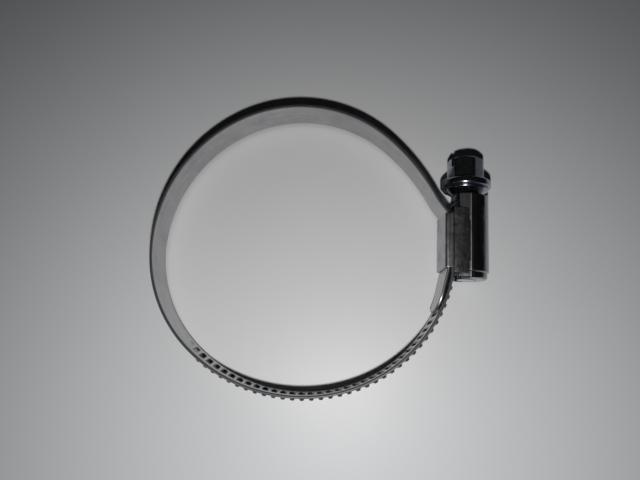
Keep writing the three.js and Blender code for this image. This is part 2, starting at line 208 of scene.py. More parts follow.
STAKE_DENT_HALF = (1.15, 1.7)
STAKE_DENT_DEPTH = 0.3

# The CAD housing's lowest corner is known in both frames, and gives the way from one to the other
HOUSING_CORNER = Vector((BASE_INNER_X, BARREL_START_Y, MID_Z - SADDLE_HALF))
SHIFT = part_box("housing_shell")[0] - HOUSING_CORNER * MM


def to_frame(points):
    """Points in ring-centred millimetres, as points of the shared frame in metres."""
    return np.asarray(points, float) * MM + np.array(SHIFT)


def smooth(value, low, high):
    """0 below low, 1 above high, and a smooth rise between them."""
    t = np.clip((np.asarray(value, float) - low) / (high - low), 0, 1)
    return t * t * (3 - 2 * t)


# ---- Meshes ---------------------------------------------------------------------------------------


def make_piece(name, points, faces, lay, material, sharp=38):
    """A closed mesh object in the shared frame, with its surface coordinates in the attribute lay."""
    mesh = bpy.data.meshes.new(name)
    mesh.from_pydata([tuple(p) for p in to_frame(points)], [], faces)
    attribute = mesh.attributes.new("lay", "FLOAT_VECTOR", "POINT")
    attribute.data.foreach_set("vector", np.asarray(lay, np.float32).ravel())
    body = bmesh.new()
    body.from_mesh(mesh)
    bmesh.ops.recalc_face_normals(body, faces=body.faces)
    body.to_mesh(mesh)
    body.free()
    mesh.shade_smooth()
    mesh.set_sharp_from_angle(angle=math.radians(sharp))
    mesh.materials.append(material)
    piece = bpy.data.objects.new(name, mesh)
    bpy.context.scene.collection.objects.link(piece)
    return piece


def tube_faces(rings, size, first=0):
    """Quads between each ring of points and the next, where every ring closes on itself."""
    faces = []
    for ring in range(rings - 1):
        low, high = first + ring * size, first + (ring + 1) * size
        for place in range(size):
            after = (place + 1) % size
            faces.append((low + place, low + after, high + after, high + place))
    return faces


# ---- Band centre line -----------------------------------------------------------------------------


class Path:
    """A flat curve made of straights and arcs, each one tangent to the one before."""

    def __init__(self, x, y, heading):
        self.end = (x, y, math.radians(heading))
        self.stretches = []
        self.length = 0.0

    def add(self, length, turn):
        self.stretches.append((self.length, length, turn, *self.end))
        self.length += length
        x, y, heading = self.at(self.length)
        self.end = (float(x), float(y), float(heading))
        return self

    def line(self, length):
        return self.add(length, 0.0)

    def arc(self, radius, sweep):
        turn = math.radians(sweep)
        return self.add(radius * abs(turn), turn)

    def at(self, distance):
        """x, y and heading at a distance along the path, or at an array of distances."""
        distance = np.asarray(distance, float)
        x, y, heading = (np.zeros_like(distance) for _ in range(3))
        for start, length, turn, x0, y0, heading0 in self.stretches:
            here = distance >= start if start > 0 else np.ones_like(distance, bool)
            along = distance - start
            turned = turn * along / length
            chord = along if turn == 0 else 2 * length * np.sin(turned / 2) / turn
            direction = heading0 + turned / 2
            x = np.where(here, x0 + chord * np.cos(direction), x)
            y = np.where(here, y0 + chord * np.sin(direction), y)
            heading = np.where(here, heading0 + turned, heading)
        return x, y, heading

    def stations(self, start, end, longest=0.4, sharpest=3.0, shortest=0.04):
        """Distances close enough together to draw each stretch as a smooth curve."""
        places = [start]
        for begin, length, turn, *_ in self.stretches:
            steps = math.ceil(max(length / longest, abs(turn) / math.radians(sharpest)))
            for place in np.linspace(begin, begin + length, steps + 1):
                if places[-1] + shortest < place < end - shortest:
                    places.append(float(place))
        return np.array([*places, end])


def draw_ring(neck_length, last_radius):
    """The ring for a straight neck of some length and a last arc of some radius."""
    path = Path(PLAIN_LAYER_X, NECK_START_Y, 90).arc(*NECK_BEND).line(neck_length)
    path.arc(*NECK_RETURN)
    for arc in RING_ARCS:
        path.arc(*arc)
    turned = NECK_BEND[1] + NECK_RETURN[1] + LOWER_BEND[1] + sum(sweep for _, sweep in RING_ARCS)
    return path.arc(last_radius, 360 - turned).arc(*LOWER_BEND)


def close_ring():
    """The ring whose end meets the housing's lower mouth; its end moves in proportion to both sizes."""
    neck, radius = 1.0, 30.0
    base = np.array(draw_ring(neck, radius).end[:2])
    by_neck = np.array(draw_ring(neck + 1, radius).end[:2]) - base
    by_radius = np.array(draw_ring(neck, radius + 1).end[:2]) - base
    target = np.array((TOOTHED_LAYER_X, LOWER_BEND_END_Y)) - base
    more = np.linalg.solve(np.column_stack((by_neck, by_radius)), target)
    return draw_ring(neck + more[0], radius + more[1])


RING = close_ring()
MOUTH = RING.length
RING.line(FREE_TIP_Y - LOWER_BEND_END_Y)
TOOTH_ZERO = MOUTH + TOOTH_IN_HOUSING_Y - LOWER_BEND_END_Y
TEETH_BEYOND = math.floor((RING.length - TOOTH_ZERO) / PITCH - END_MARGIN)
FIRST_TOOTH = TOOTH_ZERO - (TOOTH_COUNT - 1 - TEETH_BEYOND) * PITCH
TOOTH_SLANT = PITCH / (math.pi * (WORM_RADIUS + WORM_ROOT_RADIUS))


def path_place(joint_name):
    """The distance along the ring that is nearest to a joint's axis."""
    joint = next(j for j in frame["joints"] if j["name"] == joint_name)
    wanted = (np.array(joint["pos_m"][:2]) - np.array(SHIFT)[:2]) / MM
    places = np.linspace(0, RING.length, PLACE_SAMPLES)
    x, y, _ = RING.at(places)
    return float(places[np.argmin((x - wanted[0]) ** 2 + (y - wanted[1]) ** 2)])


def path_point(path, place):
    """The point of a path's centre line at mid width, in the shared frame."""
    x, y, _ = path.at(place)
    return Vector(to_frame((float(x), float(y), MID_Z)))


# ---- Band pieces ----------------------------------------------------------------------------------


def section_loop():
    """The strip's cross-section as (z, offset) points, round both faces and both rounded edges."""
    half = BAND_THICKNESS / 2
    ramps = np.linspace(TOOTH_EDGE_Z, TOOTH_EDGE_Z + TOOTH_END_RAMP, 5)
    quarter = [EDGE_ROUND, *EDGE_ROWS_Z, *ramps, *MIDDLE_ROWS_Z]
    face = np.array([*quarter, MID_Z, *(BAND_WIDTH - z for z in reversed(quarter))])
    bend = np.radians(np.linspace(90, 0, 7))[1:-1]
    inset = half - EDGE_ROUND
    corner = [(BAND_WIDTH - EDGE_ROUND + EDGE_ROUND * math.cos(a), inset + EDGE_ROUND * math.sin(a))
              for a in bend]
    upper = corner + [(BAND_WIDTH, inset), (BAND_WIDTH, -inset)]
    upper += [(z, -out) for z, out in reversed(corner)]
    lower = [(BAND_WIDTH - z, -out) for z, out in upper]
    outer = [(z, half) for z in face]
    inner = [(z, -half) for z in reversed(face)]
    return np.array(outer + upper + inner + lower)


def tooth_lift(place, z, outside):
    """How far the pressed teeth raise the strip's outer face, or sink in its inner face."""
    number = np.clip(np.round((place - FIRST_TOOTH) / PITCH), 0, TOOTH_COUNT - 1)
    away = np.abs(place - FIRST_TOOTH - number * PITCH)
    rise = np.array([*TOOTH_RISE, *[1.0] * (TOOTH_COUNT - len(TOOTH_RISE))])[number.astype(int)]
    top, base = (TOOTH_TOP_HALF, TOOTH_BASE_HALF) if outside else (POCKET_TOP_HALF, POCKET_BASE_HALF)
    along = 1 - smooth(away, top, base)
    from_edge = np.minimum(z, BAND_WIDTH - z)
    across = smooth(from_edge, TOOTH_EDGE_Z, TOOTH_EDGE_Z + TOOTH_END_RAMP)
    return (TOOTH_HEIGHT if outside else TOOTH_POCKET) * rise * along * across


def tooth_stations(start, end):
    """Distances that share each tooth's pitch into equal steps, between two places."""
    step = PITCH / STEPS_PER_TOOTH
    first = math.ceil((start - TOOTH_ZERO) / step + END_MARGIN)
    last = math.floor((end - TOOTH_ZERO) / step - END_MARGIN)
    return np.array([start, *(TOOTH_ZERO + step * n for n in range(first, last + 1)), end])


def band_strip(name, path, start, end, material, toothed=False, rounded_tip=False):
    """One closed stretch of band along a path, with its teeth, or with a rounded end."""
    thread_start = FIRST_TOOTH - PITCH / 2
    if not toothed or end <= thread_start:
        stations = path.stations(start, end)
    elif start >= thread_start:
        stations = tooth_stations(start, end)
    else:
        plain = path.stations(start, thread_start)
        stations = np.concatenate((plain[:-1], tooth_stations(thread_start, end)))
    loop = section_loop()
    place, z = np.meshgrid(stations, loop[:, 0], indexing="ij")
    out = np.broadcast_to(loop[:, 1], place.shape).copy()
    shifted = place
    if toothed:
        lift_out = tooth_lift(place, z, True)
        lift_in = tooth_lift(place, z, False)
        out += np.where(out > 0, lift_out, lift_in)
        slanting = smooth(np.minimum(z, BAND_WIDTH - z), 0, SHEAR_FADE)
        slanting = slanting * smooth(place, thread_start - PITCH, thread_start)
        shifted = place + TOOTH_SLANT * (z - MID_Z) * slanting
    if rounded_tip:
        into_tip = np.clip((place - end + TONGUE_ROUNDING) / TONGUE_ROUNDING, 0, 1)
        narrow = TONGUE_TIP_SHARE + (1 - TONGUE_TIP_SHARE) * np.sqrt(1 - into_tip ** 2)
        z = MID_Z + (z - MID_Z) * narrow
    x, y, heading = path.at(shifted)
    points = np.stack((x + out * np.sin(heading), y - out * np.cos(heading), z), -1)
    lay = np.stack((shifted, z, out), -1)
    rings, size = place.shape
    faces = tube_faces(rings, size)
    faces.append(tuple(range(size)))
    faces.append(tuple(range((rings - 1) * size, rings * size)))
    return make_piece(name, points.reshape(-1, 3), faces, lay.reshape(-1, 3), material)


def build_band(material):
    """The whole band: one piece for each hinge, from halfway before it to halfway after it."""
    hinges = [j for j in frame["joints"] if j["name"] not in ("screw_turn", "tongue_flex")]
    places = [path_place(j["name"]) for j in hinges]
    cuts = [(a + b) / 2 for a, b in zip(places, places[1:])]
    starts, ends = [0.0, *cuts], [*cuts, RING.length]
    for number, (hinge, start, end) in enumerate(zip(hinges, starts, ends)):
        if number == 0:
            layer = NECK_START_Y - LAYER_START_Y
            path = Path(PLAIN_LAYER_X, LAYER_START_Y, 90).line(layer)
            for _, length, turn, *_ in RING.stretches[:NECK_STRETCHES]:
                path.add(length, turn)
            piece = band_strip("band_neck", path, 0.0, layer + end, material)
            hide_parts("band_anchor")
        else:
            piece = band_strip(f"band_curve_{number}", RING, start, end, material, toothed=True)
            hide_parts(f"band_link_0{number}")
        reach = min(places[number] - start, end - places[number])
        path_point(RING, places[number] - reach)
        path_point(RING, places[number] + reach)
        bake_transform(piece)
    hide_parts("band_free_end")
    layer = LAYER_START_Y - TONGUE_START_Y
    path = Path(PLAIN_LAYER_X, LAYER_START_Y, 270).line(layer).arc(*TONGUE_BEND)
    path.line(TONGUE_LENGTH).arc(*TONGUE_TIP)
    tongue = band_strip("band_tongue_end", path, 0.0, path.length, material, rounded_tip=True)
    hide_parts("band_tongue")
    path_point(path, layer - TONGUE_HINGE_REACH)
    path_point(path, layer + TONGUE_HINGE_REACH)
    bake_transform(tongue)


# ---- Screw ----------------------------------------------------------------------------------------


def arc_points(centre, radius, start, end, steps=5):
    """(radius, y) points on a round of a turned profile, from one angle to another, both included."""
    angles = np.radians(np.linspace(start, end, steps))
    return [(centre[0] + radius * math.cos(a), centre[1] + radius * math.sin(a)) for a in angles]


def thread_radius(angle, y):
    """The worm's radius at an angle round the screw and a height along it."""
    first_groove = TOOTH_IN_HOUSING_Y - PITCH * (GROOVE_FLAT / 2 + 0.75)
    share = np.mod((y - first_groove) / PITCH - angle / (2 * math.pi), 1.0)
    face = (1 - GROOVE_FLAT - CREST_FLAT) / 2
    rise = smooth(share, GROOVE_FLAT, GROOVE_FLAT + face)
    fall = smooth(share, 1 - face, 1)
    run_in = smooth(y, WORM_START_Y, WORM_START_Y + THREAD_RUN_IN)
    run_in = run_in * (1 - smooth(y, WORM_END_Y - THREAD_RUN_IN, WORM_END_Y))
    return WORM_ROOT_RADIUS + (WORM_RADIUS - WORM_ROOT_RADIUS) * (rise - fall) * run_in


def hex_radius(angle):
    """The hexagon's radius at an angle round the screw, with its corners cut to a circle."""
    half = math.pi / 6
    into_face = np.mod(angle + math.radians(HEX_TURN) + half, 2 * half) - half
    flat = HEX_ACROSS_FLATS / 2 / np.cos(into_face)
    soft = HEX_CORNER_SOFTNESS
    return -soft * np.logaddexp(-flat / soft, -HEX_CORNER_RADIUS / soft)


def build_screw(material):
    """Journal, worm, neck, flared collar and slotted hexagon, as one turned body."""
    angle = np.linspace(0, 2 * math.pi, SCREW_SIDES, endpoint=False)
    rings = []

    def turned(profile):
        for radius, y in profile:
            rings.append((np.full_like(angle, radius), np.full_like(angle, y)))

    tip_round = (JOURNAL_RADIUS - JOURNAL_ROUND, SCREW_TIP_Y + JOURNAL_ROUND)
    turned([(AXIS_GAP, SCREW_TIP_Y), (TIP_FLAT_RADIUS, SCREW_TIP_Y)])
    turned([*arc_points(tip_round, JOURNAL_ROUND, -90, 0), (JOURNAL_RADIUS, WORM_START_Y)])
    for y in np.arange(WORM_START_Y, WORM_END_Y + WORM_STEP / 2, WORM_STEP):
        rings.append((thread_radius(angle, y), np.full_like(angle, y)))
    fillet = (NECK_RADIUS + NECK_FILLET, NECK_END_Y + 0.1)
    turned([(NECK_RADIUS, WORM_END_Y), (NECK_RADIUS, NECK_END_Y)])
    turned(arc_points(fillet, NECK_FILLET, 180, 130, 4))
    turned([(CONE_END_RADIUS, CONE_END_Y), *arc_points(LOWER_RIM_CENTRE, LOWER_RIM_ROUND, -50, 60, 6)])
    lower = (COLLAR_RADIUS - COLLAR_LOWER_ROUND, COLLAR_LOWER_Y)
    upper = (COLLAR_RADIUS - COLLAR_UPPER_ROUND, COLLAR_END_Y - COLLAR_UPPER_ROUND)
    turned([*GROOVE_POINTS, *arc_points(lower, COLLAR_LOWER_ROUND, -80, 0, 7)])
    turned([*arc_points(upper, COLLAR_UPPER_ROUND, 0, 90, 8), *COLLAR_FACE_POINTS])
    for y in HEX_ROWS_Y:
        rings.append((hex_radius(angle), np.full_like(angle, y)))
    for share in np.linspace(0, 1, 8):
        limit = HEX_CORNER_RADIUS - HEX_CROWN_INSET * (1 - math.cos(share * math.pi / 2))
        height = HEX_CROWN_Y + HEX_CROWN_HEIGHT * math.sin(share * math.pi / 2)
        rings.append((np.minimum(hex_radius(angle), limit), np.full_like(angle, height)))
    turned([(HEX_FACE_RADIUS, HEX_END_Y), (AXIS_GAP, HEX_END_Y)])

    radii = np.array([r for r, _ in rings])
    heights = np.array([y for _, y in rings])
    x = SCREW_X + radii * np.sin(angle)
    z = MID_Z + radii * np.cos(angle)
    points = np.stack((x, heights, z), -1)
    lay = np.stack((np.broadcast_to(angle * 3, x.shape), heights, radii), -1)
    count = len(rings)
    faces = tube_faces(count, SCREW_SIDES)
    faces.append(tuple(range(SCREW_SIDES)))
    faces.append(tuple(range((count - 1) * SCREW_SIDES, count * SCREW_SIDES)))
    points, lay = points.reshape(-1, 3), lay.reshape(-1, 3)
    screw = make_piece("screw_body", points, faces, lay, material, SCREW_SHARP_ANGLE)
    cut_slot(screw)
    screw.data.set_sharp_from_angle(angle=math.radians(SCREW_SHARP_ANGLE))
    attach(screw, "screw")
    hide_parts("worm_screw")


def cut_slot(screw):
    """Cuts the screwdriver slot across the hexagon's end."""
    cutter = bpy.data.objects.new("slot_cutter", bpy.data.meshes.new("slot_cutter"))
    bpy.context.scene.collection.objects.link(cutter)
    body = bmesh.new()
    bmesh.ops.create_cube(body, size=1)
    size = Vector((SLOT_LENGTH, 2 * SLOT_DEPTH, SLOT_WIDTH)) * MM
    bmesh.ops.scale(body, vec=size, verts=body.verts)
    turn = Matrix.Rotation(math.radians(SLOT_TURN - 90), 4, "Y")
    place = Matrix.Translation(Vector(to_frame((SCREW_X, HEX_END_Y, MID_Z))))
    body.transform(place @ turn)
    body.to_mesh(cutter.data)
    body.free()
    cut = screw.modifiers.new("slot", "BOOLEAN")
    cut.object = cutter
    cut.operation = "DIFFERENCE"
    cut.solver = "EXACT"
    graph = bpy.context.evaluated_depsgraph_get()
    shaped = bpy.data.meshes.new_from_object(screw.evaluated_get(graph))
    screw.modifiers.clear()
    screw.data = shaped
    bpy.data.objects.remove(cutter)


# ---- Housing --------------------------------------------------------------------------------------


def curve_points(a, control, b, steps=14):
    """Points on a curve from a to b that is drawn towards a control point, without the last one."""
    a, control, b = (np.array(p, float) for p in (a, control, b))
    share = np.linspace(0, 1, steps, endpoint=False)[:, None]
    return list((1 - share) ** 2 * a + 2 * share * (1 - share) * control + share ** 2 * b)


def circle_points(radius, start, end, steps):
    """Points (x, z) on a circle about the screw, from one angle to another, without the last one."""
    angles = np.radians(np.linspace(start, end, steps, endpoint=False))
    return [np.array((SCREW_X + radius * math.cos(a), MID_Z + radius * math.sin(a))) for a in angles]


def even_outline(points, step):
    """A closed outline's points at an even spacing."""
    points = np.array(points)
    closed = np.vstack((points, points[:1]))
    lengths = np.concatenate(([0], np.cumsum(np.linalg.norm(np.diff(closed, axis=0), axis=1))))
    count = round(lengths[-1] / step)
    wanted = np.linspace(0, lengths[-1], count, endpoint=False)
    return np.stack([np.interp(wanted, lengths, closed[:, k]) for k in (0, 1)], -1)


def outline_normals(outline):
    """Unit normals of a counter-clockwise outline, pointing out of it."""
    along = np.roll(outline, -1, 0) - np.roll(outline, 1, 0)
    normals = np.stack((along[:, 1], -along[:, 0]), -1)
    return normals / np.linalg.norm(normals, axis=1)[:, None]


def saddle_outline():
    """The saddle's outside in (x, z): flat base, rounded corners, and walls into the round barrel."""
    low, high = MID_Z - SADDLE_HALF, MID_Z + SADDLE_HALF
    flank = SCREW_X - BARREL_OUTER_RADIUS * WALL_CURVE_SHARE
    base, corner = BASE_INNER_X, SADDLE_CORNER
    points = curve_points((base, low + corner), (base, low), (base + corner, low), 8)
    points += curve_points((base + corner, low), (WALL_TOP_X, low), (CHANNEL_TOP_X, low), 4)
    points += curve_points((CHANNEL_TOP_X, low), (flank, low), (SCREW_X, MID_Z - BARREL_OUTER_RADIUS))
    points += circle_points(BARREL_OUTER_RADIUS, -90, 90, ROUND_STEPS)
    points += curve_points((SCREW_X, MID_Z + BARREL_OUTER_RADIUS), (flank, high), (CHANNEL_TOP_X, high))
    points += curve_points((CHANNEL_TOP_X, high), (WALL_TOP_X, high), (base + corner, high), 4)
    points += curve_points((base + corner, high), (base, high), (base, high - corner), 8)
    return even_outline(points, SHEET_STEP)


def channel_outline():
    """The space for the two band layers and the worm, in (x, z)."""
    neck = math.degrees(math.asin(BARREL_NECK_HALF / BARREL_INNER_RADIUS))
    base = BASE_INNER_X + BASE_THICKNESS
    low, high = MID_Z - CHANNEL_HALF, MID_Z + CHANNEL_HALF
    points = [(base, low), (CHANNEL_TOP_X, low)]
    points += circle_points(BARREL_INNER_RADIUS, neck - 180, 180 - neck, ROUND_STEPS)
    points += [(CHANNEL_TOP_X, high), (base, high)]
    return even_outline(points, 3 * SHEET_STEP)


def seam_x(y):
    """Where the barrel sheet's edge lies over the flank: a long tab with a jog at each end."""
    low, high = SEAM_JOGS_Y
    inside = smooth(y, low - SEAM_JOG_HALF, low + SEAM_JOG_HALF)
    inside = inside * (1 - smooth(y, high - SEAM_JOG_HALF, high + SEAM_JOG_HALF))
    return SEAM_END_X + (SEAM_X - SEAM_END_X) * inside


def roughness_of(x, y, waves):
    """A fixed uneven surface, the sum of (across, along, phase) waves, about -1 to 1."""
    total = np.zeros_like(x)
    bend = 0.8 * np.sin(1.3 * x + 0.9 * y) + 0.5 * np.sin(2.1 * y - 0.7 * x + 1)
    for number, (across, along, phase) in enumerate(waves):
        total += np.sin(across * x + along * y + phase + (1 + 0.3 * number) * bend)
    return total / len(waves) * 1.6


WAVES_FINE = ((3.1, 1.3, 0.4), (-5.3, 2.9, 1.9), (7.7, -3.1, 3.0), (2.2, 4.3, 0.7), (-6.0, 1.1, 2.2))
WAVES_BROAD = ((1.1, 0.7, 0.4), (-0.8, 1.3, 1.9), (2.1, -1.9, 3.0))


def saddle_relief(x, y, z, normal_z):
    """How far the saddle's outside stands in from its outline: the fold, the staking and the wear."""
    on_side = smooth(np.abs(normal_z), 0.55, 0.8)
    groove = FOLD_DEPTH * np.exp(-((x - FLANGE_EDGE_X) / FOLD_HALF) ** 2)
    covered = COVERED_DEPTH * smooth(x, FLANGE_EDGE_X, FLANGE_EDGE_X + FOLD_HALF)
    covered = covered * (1 - smooth(x, COVERED_END_X, SCREW_X))
    worn = WEAR_FINE * (1 + roughness_of(x, y, WAVES_BROAD))
    relief = on_side * (groove + covered + worn)
    on_base = 1 - smooth(x, BASE_INNER_X + 0.05, BASE_INNER_X + 0.4)
    half_y, half_z = STAKE_DENT_HALF
    for dent_y, dent_z in STAKE_DENTS:
        lens = ((y - dent_y) / half_y) ** 2 + ((z - dent_z) / half_z) ** 2
        relief = relief + STAKE_DENT_DEPTH * on_base * np.clip(1 - lens, 0, 1) ** 0.7
    return relief


def end_rounding(y, start, end, radius):
    """How far a sheet's surface draws in near its two cut ends."""
    from_end = np.minimum(y - start, end - y)
    t = np.clip(1 - from_end / radius, 0, 1)
    return radius * (1 - np.sqrt(np.clip(1 - t * t, 0, 1)))


def end_stations(start, end, rounding, step):
    """Heights of a sheet's sections, closer together at its rounded ends."""
    fine = rounding * (1 - np.cos(np.linspace(0, math.pi / 2, 5)))
    middle = np.arange(start + 0.2, end - 0.15, step)
    return np.concatenate((start + fine, middle, end - fine[::-1]))


def saddle_shell():
    """Points, faces and lay of the saddle: an outer and an inner skin, joined at both ends."""
    outer, inner = saddle_outline(), channel_outline()
    stations = end_stations(SADDLE_START_Y, SADDLE_END_Y, SHEET_ROUND, SHEET_STEP)
    skins = []
    for outline, inward in ((outer, -1), (inner, 1)):
        normals = outline_normals(outline)
        y, x = np.meshgrid(stations, outline[:, 0], indexing="ij")
        z = np.broadcast_to(outline[:, 1], x.shape)
        depth = end_rounding(y, SADDLE_START_Y, SADDLE_END_Y, SHEET_ROUND)
        if outline is outer:
            depth = depth + saddle_relief(x, y, z, normals[:, 1])
        x = x + inward * depth * normals[:, 0]
        z = z + inward * depth * normals[:, 1]
        skins.append(np.stack((x, y, z), -1))
    points = np.vstack([skin.reshape(-1, 3) for skin in skins])
    inner_first = skins[0].shape[0] * skins[0].shape[1]
    faces = tube_faces(len(stations), len(outer))
    faces += tube_faces(len(stations), len(inner), inner_first)
    body = bmesh.new()
    for end in (0, len(stations) - 1):
        rims = []
        for first, size in ((0, len(outer)), (inner_first, len(inner))):
            rim = [first + end * size + k for k in range(size)]
            rims.append([(body.verts.new(points[k]), k) for k in rim])
        edges = []
        for rim in rims:
            for here, after in zip(rim, rim[1:] + rim[:1]):
                edges.append(body.edges.new((here[0], after[0])))
        number = {vertex: k for rim in rims for vertex, k in rim}
        filled = bmesh.ops.triangle_fill(body, edges=edges, use_beauty=True)
        for face in filled["geom"]:
            if isinstance(face, bmesh.types.BMFace):
                faces.append(tuple(number[v] for v in face.verts))
    body.free()
    return points, faces


def barrel_end(profile):
    """Points and faces of a C-shaped sleeve: a closed (radius, y) profile swept round the screw."""
    reach = math.degrees(math.acos((SCREW_X - BARREL_MOUTH_X) / BARREL_OUTER_RADIUS))
    angles = np.radians(np.linspace(reach - 180, 180 - reach, SLEEVE_STEPS))
    profile = np.array(profile)
    points = [(SCREW_X + r * math.cos(a), y, MID_Z + r * math.sin(a)) for a in angles for r, y in profile]
    size = len(profile)
    faces = tube_faces(len(angles), size)
    faces.append(tuple(range(size)))
    faces.append(tuple(range((len(angles) - 1) * size, len(angles) * size)))
    return np.array(points), faces


def housing_ends():
    """The plain sleeve towards the screw's head, and the turned-in lip at its tip."""
    outer, inner = BARREL_OUTER_RADIUS, BARREL_INNER_RADIUS
    round_y = BARREL_END_Y - SLEEVE_ROUND
    sleeve = [(inner, SADDLE_END_Y), (outer, SADDLE_END_Y), (outer, SLEEVE_ROW_Y), (outer, round_y)]
    sleeve += arc_points((outer - SLEEVE_ROUND, round_y), SLEEVE_ROUND, 0, 90)
    sleeve += arc_points((inner + SLEEVE_ROUND, round_y), SLEEVE_ROUND, 90, 180)
    lip_top = BARREL_START_Y + LIP_THICKNESS
    curl = outer - LIP_STEP
    hole_round = (LIP_HOLE_RADIUS + LIP_HOLE_ROUND, BARREL_START_Y + LIP_HOLE_ROUND)
    curl_round = (curl - LIP_CURL_ROUND, BARREL_START_Y + LIP_CURL_ROUND)
    lip = [(inner, SADDLE_START_Y), (inner, lip_top + LIP_INNER_BEVEL), (inner - LIP_INNER_BEVEL, lip_top)]
    lip += [(LIP_HOLE_RADIUS + LIP_BEVEL, lip_top), (LIP_HOLE_RADIUS, lip_top - LIP_BEVEL)]
    lip += arc_points(hole_round, LIP_HOLE_ROUND, 180, 270)
    lip += arc_points(curl_round, LIP_CURL_ROUND, -90, 0, 8)
    lip += [(curl, LIP_STEP_Y), (curl + 0.1, LIP_STEP_Y + 0.1)]
    lip += [(outer - 0.08, LIP_STEP_Y + 0.15), (outer, LIP_STEP_Y + 0.25)]
    lip += [(outer, SADDLE_START_Y)]
    return [barrel_end(sleeve), barrel_end(lip)]


def wing_shell(side):
    """The rough pressed plate over one flank, from the fold to the seam; side is 1 above, -1 below."""
    outline = saddle_outline()
    upper = outline[outline[:, 1] > MID_Z + 3]
    upper = upper[np.argsort(upper[:, 0])]
    stations = end_stations(WING_START_Y, WING_END_Y, WING_ROUND, WING_STEP)
    share = np.linspace(0, 1, WING_COLUMNS)
    y, share = np.meshgrid(stations, share, indexing="ij")
    edge = seam_x(y)
    x = WING_START_X + (edge - WING_START_X) * share
    surface = np.interp(x, upper[:, 0], upper[:, 1])
    at_rim = end_rounding(y, WING_START_Y, WING_END_Y, WING_ROUND)
    at_rim = at_rim + end_rounding(x, WING_START_X, edge, WING_ROUND)
    wear = WEAR_FINE * roughness_of(x, y, WAVES_FINE) + WEAR_BROAD * roughness_of(x, y, WAVES_BROAD)
    wear = wear * (1 - smooth(at_rim, 0, 0.03))
    top = np.minimum(surface + WING_RISE - at_rim - WING_SINK - wear, WING_HIGHEST_Z)
    under = surface - WING_THICKNESS
    rows = [np.stack((x, y, MID_Z + side * (z - MID_Z)), -1) for z in (top, under)]
    loops = np.concatenate((rows[0], rows[1][:, ::-1]), axis=1)
    rings, size, _ = loops.shape
    faces = tube_faces(rings, size)
    faces.append(tuple(range(size)))
    faces.append(tuple(range((rings - 1) * size, rings * size)))
    return loops.reshape(-1, 3), faces


def build_housing(material):
    """The pressed housing: saddle, sleeve, lip and flank plates, as one piece."""
    shells = [saddle_shell(), *housing_ends(), wing_shell(1), wing_shell(-1)]
    points, faces = [], []
    for shell_points, shell_faces in shells:
        first = sum(len(p) for p in points)
        points.append(shell_points)
        faces += [tuple(first + k for k in face) for face in shell_faces]
    points = np.vstack(points)
    housing = make_piece("housing_body", points, faces, points[:, [1, 0, 2]], material, 40)
    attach(housing, "housing")
    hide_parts("housing_shell")


# ---- Materials ------------------------------------------------------------------------------------

BAND_BLUISH = (0.36, 0.37, 0.395, 1)
BAND_BRIGHT = (0.57, 0.57, 0.57, 1)
BAND_STREAK = (0.33, 0.32, 0.31, 1)
BAND_EDGE = (0.11, 0.11, 0.115, 1)
BAND_EDGE_OUT = (0.02, 0.1)
BAND_EDGE_DEPTH = (0.2, 0.06)
SHEET_DARK = (0.3, 0.3, 0.31, 1)
SHEET_BRIGHT = (0.42, 0.42, 0.44, 1)
FLANK_DARK = (0.06, 0.057, 0.057, 1)
# Painted highlight: a brighter colour for the light line along the seam edge of the flank plates.
SEAM_PAINTED_HIGHLIGHT = (0.5, 0.5, 0.52, 1)
ZINC_DARK = (0.32, 0.36, 0.4, 1)
ZINC_BRIGHT = (0.5, 0.56, 0.61, 1)
FLOOR_MIDDLE = (0.735, 0.735, 0.74, 1)
# Painted light falloff: the floor colour away from the middle is cooler and slightly darker.
FLOOR_FAR_PAINTED_FALLOFF = (0.69, 0.72, 0.745, 1)
FLOOR_MARK = (0.6, 0.6, 0.6, 1)
FLOOR_FALLOFF_START = 0.03
FLOOR_FALLOFF_END = 0.09


class Shader:
    """A material with a Principled shader and short ways to add nodes to it."""

    def __init__(self, name):
        self.material = bpy.data.materials.new(name)
        self.material.use_nodes = True
        self.tree = self.material.node_tree
        self.surface = self.tree.nodes["Principled BSDF"]

    def add(self, kind, inputs=None, **settings):
        made = self.tree.nodes.new(kind)
        for name, value in settings.items():
            setattr(made, name, value)
        for name, value in (inputs or {}).items():
            self.put(made.inputs[name], value)
        return made

    def put(self, socket, value):
        if isinstance(value, bpy.types.NodeSocket):
            self.tree.links.new(value, socket)
        else:
            socket.default_value = value

    def coordinates(self, scale):
        """The piece's own surface coordinates in millimetres, stretched by a scale for each axis."""
        lay = self.add("ShaderNodeAttribute", attribute_name="lay")
        return self.add("ShaderNodeVectorMath", {0: lay.outputs["Vector"], 1: scale},
                        operation="MULTIPLY").outputs[0]

    def noise(self, scale, detail=3.0, roughness=0.55, stretch=(1, 1, 1)):
        inputs = {"Vector": self.coordinates(stretch), "Scale": scale, "Detail": detail,
                  "Roughness": roughness}
        return self.add("ShaderNodeTexNoise", inputs).outputs["Fac"]

    def ramp(self, value, low, high, from_low=0.3, from_high=0.7):
        inputs = {"Value": value, "From Min": from_low, "From Max": from_high, "To Min": low,
                  "To Max": high}
        return self.add("ShaderNodeMapRange", inputs).outputs["Result"]

    def mix(self, share, a, b):
        made = self.add("ShaderNodeMix", data_type="RGBA")
        self.put(made.inputs[0], share)
        self.put(made.inputs[6], a)
        self.put(made.inputs[7], b)
        return made.outputs[2]

    def math(self, operation, a, b):
        return self.add("ShaderNodeMath", {0: a, 1: b}, operation=operation).outputs[0]

    def bump(self, height, distance, strength=1.0, normal=None):
        inputs = {"Height": height, "Distance": distance, "Strength": strength}
        if normal is not None:
            inputs["Normal"] = normal
        return self.add("ShaderNodeBump", inputs).outputs["Normal"]

    def finish(self, **sockets):
        for name, value in sockets.items():
            self.put(self.surface.inputs[name.replace("_", " ")], value)
        return self.material


